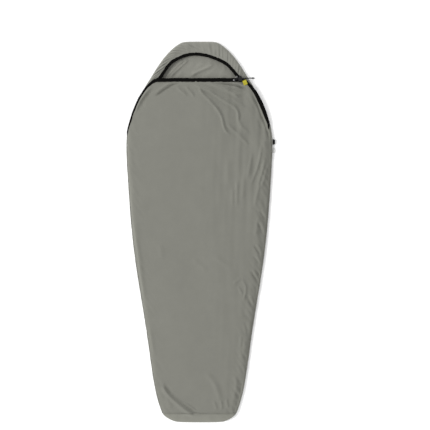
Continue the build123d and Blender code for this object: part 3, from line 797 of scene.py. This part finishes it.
def hood_lip():
    rows, cols = 420, 52
    outer, inner = lip_lines(rows)
    along = lengths_along(outer)
    s = np.linspace(0, 1, cols)[None, :] ** 1.35  # share of the way to the hem, closest at the outline
    x, y = [a[:, None] + (b - a)[:, None] * s for a, b in zip(outer.T, inner.T)]
    width = np.linalg.norm(inner - outer, axis=1)[:, None]
    inside = width * s
    hem_z = np.interp(inner[:, 1], [0.797, 0.82, 0.842, 0.87], np.array([11.2, 13.6, 16, 17]) * MM)[:, None]
    crown_z = hem_z + np.clip(width / 0.08, 0, 1) * 4.5 * MM
    rim_z = RIM_Z - 1.5 * MM
    roll = bow(inside / np.minimum(20 * MM, 0.6 * width))
    sag = ease((s - 0.45) / 0.55)
    z = rim_z + (crown_z - rim_z) * roll - (crown_z - hem_z) * sag
    # pleats start inside the outline and stop at the hem's tape
    free = ease((width - inside - 9.5 * MM) / (8 * MM)) * ease(inside / (8 * MM))
    z = z + free * lip_slack(x, y, along, s, outer[:, 0], inside)
    obj = grid_object("hood_lip", np.stack([x, y, z], axis=2), along, np.linspace(0, 0.08, cols))
    thicken(obj, -CLOTH)
    # the lip's knit is painted lighter against the shade of its pleats
    dress(obj, KNIT_HOOD_PAINTED_LIGHTER, "knit_fabric", "hood_crown", "hood_skirt_left", "hood_skirt_right")
    lift_with_hood(obj)
    return obj


def gathers(along, s, seed, periods, lean):
    """Uneven pleats across a strip; they move on by this much along it from the outer edge to the hem."""
    rng = np.random.default_rng(seed)
    at = along[:, None] - lean * s
    total = np.zeros(at.shape)
    for period in periods:
        drift = 1.3 * np.sin(2 * np.pi * at / (6.5 * period) + rng.uniform(0, 6.28))
        total = total + np.sin(2 * np.pi * at / period + rng.uniform(0, 6.28) + drift)
    return total / math.sqrt(len(periods))


# ---- foot
def foot_shell():
    """The closed foot end: rings across the bag, from the seam to the end."""
    read = np.linspace(-1.0015, -1.0495, 7)
    wide = sections(["foot_box"], read, lambda x, z: np.abs(x).max())
    corner = np.append(np.stack([wide, read], axis=1), [[0.6 * wide[-1], FOOT_END_Y]], axis=0)
    half, ys = np.vstack([[wide[0], FOOT_SEAM_Y + 0.5 * MM], flow(corner, 34)]).T
    top = np.interp(-ys, -read, sections(["foot_box"], read, lambda x, z: z.max()))
    sides = 160
    angle = np.linspace(0, 2 * np.pi, sides, endpoint=False)
    c, s = np.cos(angle), np.sin(angle)
    ring_x = np.sign(c) * np.abs(c) ** 0.55
    points = np.zeros((len(ys), sides, 3))
    for i, y in enumerate(ys):
        x, level = half[i] * ring_x, np.full(sides, y)
        shoulder = top[i] * (0.52 - 0.1 * ease((y - FOOT_END_Y) / 0.02))
        above = shoulder + (top[i] - shoulder) * np.abs(s) ** 0.75
        z = np.where(s >= 0, above, shoulder - (shoulder - 0.4 * MM) * np.abs(s) ** 0.5)
        pull = 0.8 * MM * ripples(x, y, 41, 0.07, 0.2) * (s > 0) * np.abs(s)
        z = z + pull * ease((y + 1.052) / 0.02)
        # the folds of the front run on over the seam and fade out on the foot panel
        inside = half[i] - np.abs(x)
        fold = front_slack(x, level, inside) * ease(inside / (14 * MM)) * (s > 0)
        z = z + fold * ease((y + 1.040) / 0.036)
        # at the seam it meets the front
        met = ease((y + 1.016) / 0.0175) * (s > 0)
        z = z + met * (front_height(x, np.full(sides, FOOT_SEAM_Y)) - z)
        points[i] = np.stack([x, level, z], axis=1)
    around = np.linspace(0, 0.8, sides + 1)
    obj = grid_object("foot_shell", points, ys, around, closed=True, capped="end")
    thicken(obj, CLOTH)
    # the foot's knit is painted lighter for the light that its end catches
    return dress(obj, FOOT_KNIT_PAINTED_LIGHTER, "foot_fabric", "foot_box", body="bag")


def foot_seam():
    low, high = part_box("foot_seam")
    x = np.linspace(-high.x, high.x, 150)
    y = FOOT_SEAM_Y - 2 * MM + 0.6 * MM * ripples(x, 0, 42, 0.06)
    top = np.interp(np.abs(x), [0, high.x], [high.z, low.z])
    z = np.maximum(front_height(x, np.full(x.shape, FOOT_SEAM_Y + 0.5 * MM)), top) + 0.2 * MM
    line = np.stack([x, y, z], axis=1)
    obj = band("foot_seam_roll", line, 4.0 * MM, 2.0 * MM, corners=14, square=2.2)
    dress(obj, SEAM, "seam_thread", "foot_seam", body="bag")
    side, up = rig(line)
    rows = [(line + up * (0.9 * MM) + side * offset, up) for offset in (-1.5 * MM, 1.5 * MM)]
    dress(stitches("foot_seam_stitches", rows), OLIVE_THREAD, "seam_thread", body="bag")


# ---- side seams
SEAM_END = (0.3852, 0.602)  # x and y where the seams run out between the tapes
LAST_STITCH_Y = 0.586


def side_seams():
    rows = []
    ys = np.linspace(FOOT_SEAM_Y + 0.5 * MM, SEAM_END[1], 404)
    outer = np.interp(ys, np.append(BODY_Y, SEAM_END[1]), np.append(SEAM_X, SEAM_END[0])) + 1.8 * MM
    ending = ease((SEAM_END[1] + 5 * MM - ys) / 0.020)  # the roll thins out between the tapes
    sewn_part = ys < LAST_STITCH_Y
    for sign, name in ((-1, "left"), (1, "right")):
        wobble = 0.35 * MM * ripples(ys, 0, 50 + sign, 0.07)
        line = np.stack([sign * (outer + wobble * 0.5), ys, SEAM_Z + wobble], axis=1)
        widths = 4.0 * MM + 0.3 * MM * ripples(ys, 0, 60 + sign, 0.03)
        obj = band(f"side_seam_roll_{name}", line, widths * ending, 4.2 * MM * ending, corners=12, square=2.3)
        dress(obj, SEAM, "seam_thread", f"side_seam_{name}", body="bag")
        _, up = rig(line)
        rows.append(((line + up * (2.1 * MM))[sewn_part], up[sewn_part]))
    sewn = stitches("side_seam_stitches", rows, 5.5 * MM, 3.6 * MM)
    dress(sewn, OLIVE_THREAD, "seam_thread", body="bag")


# ---- edge tapes
def edge_tape(name, route, count, puckers, seed, *nodes):
    """An edge tape along a route of (x, y, z, width, height) in millimetres, with two rows of stitches on it;
    puckers is how far it is drawn up and down, in millimetres."""
    path = flow(np.array(route, float) * MM, count)
    line, widths, heights = path[:, :3], path[:, 3], path[:, 4]
    along = lengths_along(line)
    pucker = ripples(along, 0, 70 + seed, 0.016) * 0.5 + ripples(along, 0, 80 + seed, 0.05) * 0.5
    side, up = rig(line)
    sway = 0.35 * MM * ripples(along, 0, 90 + seed, 0.045)
    line = line + up * (puckers * MM * pucker)[:, None] + side * sway[:, None]
    widths = widths * (1 + 0.03 * ripples(along, 0, 95 + seed, 0.03))
    heights = heights * (1 + 0.10 * pucker)
    obj = band(name, line, widths, heights, corners=26, square=2.9)
    dress(obj, TAPE, "binding", *nodes)
    side, up = rig(line)
    rows = []
    for sign in (-1, 1):
        lift = heights[:, None] * 0.47
        rows.append((line + side * sign * widths[:, None] * 0.34 + up * lift, up))
    sewn = stitches(f"{name}_stitches", rows, 3.8 * MM, 2.7 * MM, 0.6 * MM)
    return obj, dress(sewn, BLACK_THREAD, "binding")


TAPE_STATIONS = (600, 620, 660, 700, 745, 785, 808, 824)  # y of the shoulder tapes' route, in millimetres
TAPE_HEIGHTS = (4.6, 5, 5, 5, 5, 5, 5.2, 5.6)


def shoulder_run(sign, widths, lifts):
    """One shoulder tape's route from the chest line up; its outer edge follows the CAD tape's."""
    run = []
    for y, width, lift, height in zip(TAPE_STATIONS, widths, lifts, TAPE_HEIGHTS):
        outer = float(np.interp(y * MM, YOKE_Y, YOKE_X)) / MM
        foot = float(np.interp(y * MM, YOKE_Y, YOKE_FOOT)) / MM
        run.append((sign * (outer - width / 2), y, foot + lift, width, height))
    # the corner where it turns into the neck hem
    return run + [(sign * 247, 834.5, 24.2, 19, 6.0), (sign * 222, 837.5, 25, 20, 6.2)]


def front_tape():
    """Shoulder tapes and neck hem in one run, from the left side over the neck to the right."""
    # below the hinge the left tape wraps the seam, and the right one ends on the front beside it
    left = [(-399.0, 536, 10.9, 2.8, 3.2), (-396.9, 551, 11.3, 6, 5.4), (-393.4, 573, 12.6, 7.6, 5.4)]
    right = [(383.6, 566, 14.4, 3, 3.2), (381.8, 579, 15.6, 9.5, 4.4)]
    left += shoulder_run(-1, (10, 11, 11, 11, 11, 12, 13.5, 16), (2.6, *[2.8] * 7))
    right += shoulder_run(1, (14.5, 18, 23, 23.5, 22.5, 18, 16, 17), (3.6, 3.9, 4.2, 4.2, 3.9, 3.1, 2.8, 2.8))
    hem = [(-160, 838.2, 21), (-80, 838.4, 21.4), (0, 837.2, 22), (60, 837.6, 21.4), (150, 838.4, 22)]
    route = left + [(x, y, 25, width, 6.2) for x, y, width in hem] + right[::-1]
    nodes = ["neck_binding", "shoulder_binding_left", "shoulder_binding_right", "neck_drawcord"]
    for obj in edge_tape("front_edge_tape", route, 460, 0.3, 1, *nodes):
        lift_with_front(obj)


REAR_RUN = [
    # x, y, z, width and height of the right rear tape, from its lower end up to the hood
    (382, 592.5, 10.2, 10, 3.2),
    (373, 626, 10.3, 12, 3.5),
    (364, 660, 10.4, 12, 3.5),
    (351, 695, 10.5, 12.4, 3.5),
    (337, 727, 10.6, 13, 3.5),
    (318, 758, 11.0, 14.5, 3.7),
    (297, 785, 11.6, 16, 4.0),
    (256, 820, 14.4, 19, 4.5),
    (228, 842, 16.6, 19, 5.6),
]


def rear_tape():
    """Back edge tapes and hood hem in one run, from the left hip side over the hood to the right."""
    left = [(-x, y, z, width, height) for x, y, z, width, height in REAR_RUN]
    hood = [(-208, 864, 19), (-152, 949, 18), (-20, 994, 17.5), (146, 940, 18.5), (208, 864, 19)]
    route = left + [(x, y, 17, width, 6) for x, y, width in hood] + REAR_RUN[::-1]
    nodes = ["rear_binding_left", "rear_binding_right", "hood_binding", "hood_drawcord"]
    for obj in edge_tape("rear_edge_tape", route, 520, 0.35, 2, *nodes):
        lift_with_hood(obj)


# ---- lock, eyelets and small parts
def hard_pieces():
    looks = {
        "cord_lock_body": (LOCK_PLASTIC, "lock_plastic"),
        "cord_lock_plunger": (BUTTON_PLASTIC, "lock_button"),
        "neck_eyelet": (EYELET_METAL, "eyelet_metal"),
        "hood_eyelet": (EYELET_METAL, "eyelet_metal"),
        "cord_end_tip": (TIP_RUBBER, "cord_tip"),
    }
    for name, (material, slot) in looks.items():
        dress(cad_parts[name], material, slot)


SPRING_TURNS = 3


def lock_spring():
    """The coil behind the lock's button, which shortens as the button is pressed."""
    low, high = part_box("cord_lock_spring")
    middle = (low + high) / 2
    wire = 0.7 * MM
    radius = (high.x - low.x - wire) / 2
    turn = np.linspace(0, 2 * np.pi * SPRING_TURNS, 130)
    along = np.linspace(low.y + wire / 2, high.y - wire / 2, len(turn))
    line = np.stack([middle.x + radius * np.cos(turn), along, middle.z + radius * np.sin(turn)], axis=1)
    obj = band("lock_spring", line, wire, wire, corners=10, square=2.0, directions=rig(line, up=(0, 1, 0)))
    dress(obj, SPRING_METAL, "spring_steel", "cord_lock_spring", body="front_flap")
    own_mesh(obj)


def strip(name, line, side, widths, thickness, corners):
    """A flat woven strip with soft edges along a line, which keeps one sideways direction."""
    girth, directions = float(np.mean(widths)) * 2, level_rig(line, side)
    return band(name, line, widths, thickness, girth, corners=corners, square=6.0, directions=directions)


EAR_TURN = math.radians(20)
EAR_BAR = np.array([247.5, 834.0, 31.5]) * MM
EAR_ACROSS = np.array([math.cos(EAR_TURN), math.sin(EAR_TURN), 0.0])
TAB_WIDTH = 22.0 * MM


def from_ear(away, aside, above):
    """Points at some distances (in millimetres) from the ear's bar, away from the lock, aside and above."""
    out = np.array([math.sin(EAR_TURN), -math.cos(EAR_TURN), 0.0])
    up = np.array([0, 0, 1.0])
    return EAR_BAR + (away[:, None] * out + aside[:, None] * EAR_ACROSS + above[:, None] * up) * MM


def anchor_tab():
    """Lime webbing that loops through the lock's ear and is sewn to the front's corner."""
    # its upper ply from the sewn end to the ear, round the bar, and the lower ply back (in millimetres)
    profile = [(24.4, -4.6), (20, -3.4), (14, -1.2), (8, 0.9), (4, 2.3), (1, 2.75)]
    profile += [(-2.2 * math.sin(a), 2.6 * math.cos(a)) for a in np.linspace(0, np.pi, 12)]
    profile += [(1, -2.45), (4, -2.5), (8, -2.9), (14, -4.2), (20, -5.2), (24.4, -6.0)]
    path = flow(profile, 70)
    away, above = path.T
    obj = strip("anchor_tab", from_ear(away, 0 * away, above), EAR_ACROSS, TAB_WIDTH, 1.1 * MM, corners=28)
    dress(obj, LIME, "lime_webbing", "lock_anchor_tab", body="front_flap")
    # a box of stitches with its diagonals
    half, near, far = 8.8, 11.5, 22.5
    corners = [(-half, near), (half, near), (half, far), (-half, far), (-half, near), (half, far)]
    upper = path[path[:, 1] > -4.7][:32]
    t = np.linspace(0, 1, 14)
    rows = []
    for (a, b), (c, d) in zip(corners, corners[1:]):
        away = b + (d - b) * t
        above = np.interp(away, upper[::-1, 0], upper[::-1, 1]) + 0.55
        rows.append((from_ear(away, a + (c - a) * t, above), np.tile([0.0, 0.0, 1.0], (len(t), 1))))
    sewn = stitches("anchor_tab_stitches", rows, 2.0 * MM, 1.5 * MM, 0.5 * MM)
    dress(sewn, BLACK_THREAD, "lime_webbing", body="front_flap")


def side_loop():
    """Black tape folded over and sewn into the right side seam, narrower at its folded end."""
    low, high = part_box("side_loop")
    middle = (low + high) / 2
    ply = 1.1 * MM
    rise = (high.z - low.z) / 2 - ply / 2
    bulge = high.x - ply / 2 - rise * 1.3
    upper = [(low.x, 0.62 * MM), (low.x + 2.6 * MM, 0.75 * MM), (low.x + 5.2 * MM, rise * 0.96)]
    turn = np.linspace(0.5 * np.pi, -0.5 * np.pi, 13)
    bend = [(bulge + rise * 1.3 * math.cos(a), rise * math.sin(a)) for a in turn]
    path = flow(upper + bend + [(x, -z) for x, z in upper[::-1]], 60)
    line = np.stack([path[:, 0], np.full(len(path), middle.y), middle.z + path[:, 1]], axis=1)
    widths = np.interp(path[:, 0], [low.x, high.x], [33 * MM, 21.5 * MM])
    obj = strip("side_loop_tape", line, (0.0, 1.0, 0.0), widths, ply, corners=48)
    dress(obj, BLACK_WEB, "black_webbing", "side_loop", body="side_loop")


def care_label():
    """Small folded label in the right side seam, blank."""
    low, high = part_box("care_label")
    xs = np.linspace(low.x + 0.1 * MM, high.x - 0.2 * MM, 16)
    ys = np.linspace(low.y, high.y, 30)
    x, y = np.meshgrid(xs, ys, indexing="xy")
    out = (x - low.x) / (high.x - low.x)
    lift = 0.9 * MM * out**2 * np.sin((y - low.y) / (high.y - low.y) * np.pi * 1.3 + 0.3)
    points = np.stack([x, y, (low.z + high.z) / 2 + 0.3 * MM + lift], axis=2)
    obj = grid_object("care_label_tape", points, ys, xs)
    thicken(obj, 0.5 * MM)
    dress(obj, LABEL, "label_cloth", "care_label", body="care_label")


# ---- drawcord
CORD_DIAMETER = 3 * MM
# Routes in millimetres: the leads from eyelet to lock, and the tails from lock to moulded end.
NECK_LEAD = [(191, 837.5, 26.4), (192, 838, 36), (210, 842.8, 36), (235.7, 842.8, 36)]
NECK_TAIL = [(258, 844, 35.4), (278, 846, 31), (294, 846.4, 24.5)]
HOOD_LEAD = [(206, 856, 18), (204.5, 857, 28), (206, 852.4, 36), (209, 845.6, 36), (235.7, 846.2, 36)]
HOOD_TAIL = [(236.2, 846.2, 36), (258, 847.5, 35.4), (278, 849.5, 31), (294, 849.9, 24.5)]


def cord_tube(name, route):
    """A braided cord along a NURBS route, as a mesh tube, and the line that it follows."""
    curve = bpy.data.curves.new(f"{name}_route", "CURVE")
    curve.dimensions = "3D"
    spline = curve.splines.new("NURBS")
    spline.points.add(len(route) - 1)
    for point, (x, y, z) in zip(spline.points, route):
        point.co = (x * MM, y * MM, z * MM, 1)
    spline.order_u = 3
    spline.use_endpoint_u = True
    spline.resolution_u = 24
    guide = bpy.data.objects.new(f"{name}_route", curve)
    sampled = bpy.data.meshes.new_from_object(guide)
    line = np.array([v.co for v in sampled.vertices])
    bpy.data.meshes.remove(sampled)
    bpy.data.objects.remove(guide)
    along = lengths_along(line)
    keep = np.concatenate([[True], np.diff(along) > 1e-6])
    line, along = line[keep], along[keep]
    at = np.linspace(0, along[-1], max(40, int(along[-1] / (0.8 * MM))))
    line = picked(line, along, at)
    size, directions = CORD_DIAMETER, turning_rig(line)
    obj = band(name, line, size, size, corners=18, square=2.0, directions=directions)
    return obj, line, round(along[-1], 3)


def drawcord(name, route, far_end, lay, nodes, bend, **carried):
    """A piece of the drawcord; bend, two bodies and the points where it turns between them, is not used."""
    obj, line, length = cord_tube(name, route)
    dress(obj, CORD, "drawcord", *nodes)
    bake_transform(obj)


def drawcords():
    """The neck's cord in one run, and the hood's as a lead into the lock and a tail out of it."""
    to_lock = ("bag", "front_flap", (0.205, 0.857, 0.020), (0.212, 0.8475, 0.036))
    from_lock = ("front_flap", "cord_tail", (0.232, 0.845, 0.036), (0.266, 0.845, 0.036))
    tip = [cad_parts["cord_end_tip"]]
    neck, lead, tail = ["neck_cord_lead", "tail_cord_neck"], ["hood_cord_lead"], ["tail_cord_hood"]
    drawcord("neck_cord", NECK_LEAD + NECK_TAIL, "fitting", "loose", neck, from_lock, with_pieces=tip)
    drawcord("hood_cord", HOOD_LEAD, "object", "taut", lead, to_lock)
    drawcord("hood_cord_tail", HOOD_TAIL, "fitting", "loose", tail, from_lock, with_pieces=tip)


# ---- studio
def floor():
    """Plain white paper."""
    size = 40.0
    vertices = [(-size, -size, 0), (size, -size, 0), (size, size, 0), (-size, size, 0)]
    obj = mesh_object("floor", vertices, [(0, 1, 2, 3)])
    n = Nodes("paper")
    n.set(Roughness=0.95, Specular_IOR_Level=0.1)
    obj.data.materials.append(n.done(n.tint((0.93, 0.93, 0.93), 0.995, 1.005, n.noise(0.4))))


def area_light(name, place, size, power):
    light = bpy.data.lights.new(name, "AREA")
    light.shape = "DISK"
    light.size = size
    light.energy = power
    obj = placed(name, light, place)
    obj.rotation_euler = (-Vector(place)).to_track_quat("-Z", "Y").to_euler()


def lights():
    """A low key light from the bag's left, two weak fills beyond its ends, and white surroundings."""
    world = bpy.data.worlds.new("studio")
    world.use_nodes = True
    background = world.node_tree.nodes["Background"]
    background.inputs["Color"].default_value = (1, 1, 1, 1)
    background.inputs["Strength"].default_value = 0.84
    bpy.context.scene.world = world
    area_light("key", (-11.5, 0.6, 8.4), 6.0, 1500)
    area_light("fill_foot", (-2.0, -10.0, 2.6), 5.0, 500)
    area_light("fill_head", (-2.0, 10.0, 2.6), 5.0, 500)


def camera():
    """Straight above, with a long lens."""
    data = bpy.data.cameras.new("camera")
    data.sensor_width = 36
    distance, field = 9.0, 2.376  # height above the floor, and the width that it sees there
    data.lens = data.sensor_width * distance / field
    # the bag lies left of the picture's middle
    bpy.context.scene.camera = placed("camera", data, (0.0862, 0.094, distance))


camera()
lights()
floor()
drawcords()
front = front_shell()
back = back_shell()
lip = hood_lip()
foot = foot_shell()
foot_seam()
side_seams()
front_tape()
rear_tape()
hard_pieces()
lock_spring()
anchor_tab()
side_loop()
care_label()
bpy.context.scene.view_settings.view_transform = "Standard"
